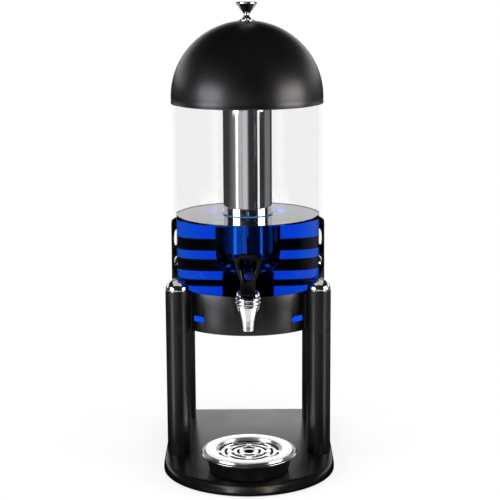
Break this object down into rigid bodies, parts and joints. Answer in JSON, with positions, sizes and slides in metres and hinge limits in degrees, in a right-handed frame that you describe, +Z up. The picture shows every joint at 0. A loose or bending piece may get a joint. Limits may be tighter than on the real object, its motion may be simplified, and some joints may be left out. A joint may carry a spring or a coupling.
{
  "type": "juice dispenser",
  "caption": "Counter-top juice dispenser: clear container in a slotted black holder on columns, with domed lid, chilled core, lever tap and drip tray.",
  "frame": {"origin": "on the counter, in the middle of the base's outline", "axes": "+Z up, -Y towards the tap and the drip tray, +X to the right as seen from the front"},
  "size_m": [0.225, 0.316, 0.6068],
  "materials": {
    "black_steel": "satin black powder coat",
    "chrome": "polished chrome plate",
    "stainless": "polished stainless steel",
    "clear_acrylic": "clear polished acrylic",
    "blue_juice": "clear blue liquid",
    "black_plastic": "moulded black plastic",
    "lever_plastic": "glossy black plastic",
    "mark_plastic": "glossy blue plastic",
    "rubber": "black silicone"
  },
  "bodies": {
    "stand": {"base_plate": "black_steel", "base_feet": "rubber", "column_front_left": "black_steel", "column_front_right": "black_steel", "column_rear_left": "black_steel", "column_rear_right": "black_steel", "sleeve_front_left": "black_steel", "sleeve_front_right": "black_steel", "sleeve_rear_left": "black_steel", "sleeve_rear_right": "black_steel", "cap_front_left": "chrome", "cap_front_right": "chrome", "cap_rear_left": "chrome", "cap_rear_right": "chrome", "tie_rods": "stainless", "base_nuts": "stainless", "holder_drum": "black_steel", "seat_ring": "black_steel", "seat_pad": "rubber"},
    "vessel": {"container": "clear_acrylic", "juice_fill": "blue_juice", "core_seat": "black_plastic", "core_washer": "rubber", "core_screw": "stainless", "tap_body": "chrome", "tap_shank": "chrome", "tap_washer_outer": "rubber", "tap_washer_inner": "rubber", "tap_nut": "stainless", "tap_collar": "chrome", "tap_bonnet": "chrome", "stem_gland": "rubber", "lever_pin": "stainless"},
    "ice_core": {"ice_tube": "chrome", "tube_rim": "chrome", "tube_cushion": "rubber"},
    "lid": {"lid_dome": "black_steel", "lid_ring": "black_plastic", "lid_gasket": "rubber", "lid_knob": "chrome", "knob_washer": "rubber", "knob_screw": "stainless"},
    "tap_lever": {"tap_lever": "lever_plastic", "lever_mark": "mark_plastic"},
    "valve_stem": {"valve_stem": "stainless", "seat_cup": "rubber"},
    "drip_tray": {"tray_bowl": "black_plastic", "tray_rim": "chrome"},
    "tray_grille": {"tray_grille": "stainless"}
  },
  "joints": [
    {"name": "vessel_lift", "type": "slide", "parent": "stand", "child": "vessel", "axis": [0, 0, 1], "range_m": [0, 0.15]},
    {"name": "core_lift", "type": "slide", "parent": "vessel", "child": "ice_core", "axis": [0, 0, 1], "range_m": [0, 0.25]},
    {"name": "lid_lift", "type": "slide", "parent": "ice_core", "child": "lid", "axis": [0, 0, 1], "range_m": [0, 0.2]},
    {"name": "lever_swing", "type": "hinge", "parent": "vessel", "child": "tap_lever", "pos_m": [0, -0.0995, 0.2455], "axis": [1, 0, 0], "range_deg": [0, 28], "stiffness_Nm_per_rad": 0.4, "springref_deg": -22.92},
    {"name": "stem_lift", "type": "slide", "parent": "vessel", "child": "valve_stem", "axis": [0, 0, 1], "range_m": [0, 0.0048]},
    {"name": "tray_lift", "type": "slide", "parent": "stand", "child": "drip_tray", "axis": [0, 0, 1], "range_m": [0, 0.08]},
    {"name": "grille_lift", "type": "slide", "parent": "drip_tray", "child": "tray_grille", "axis": [0, 0, 1], "range_m": [0, 0.05]}
  ],
  "couplings": [
    {"joint": "stem_lift", "follows": "lever_swing", "m_per_rad": 0.00943}
  ]
}
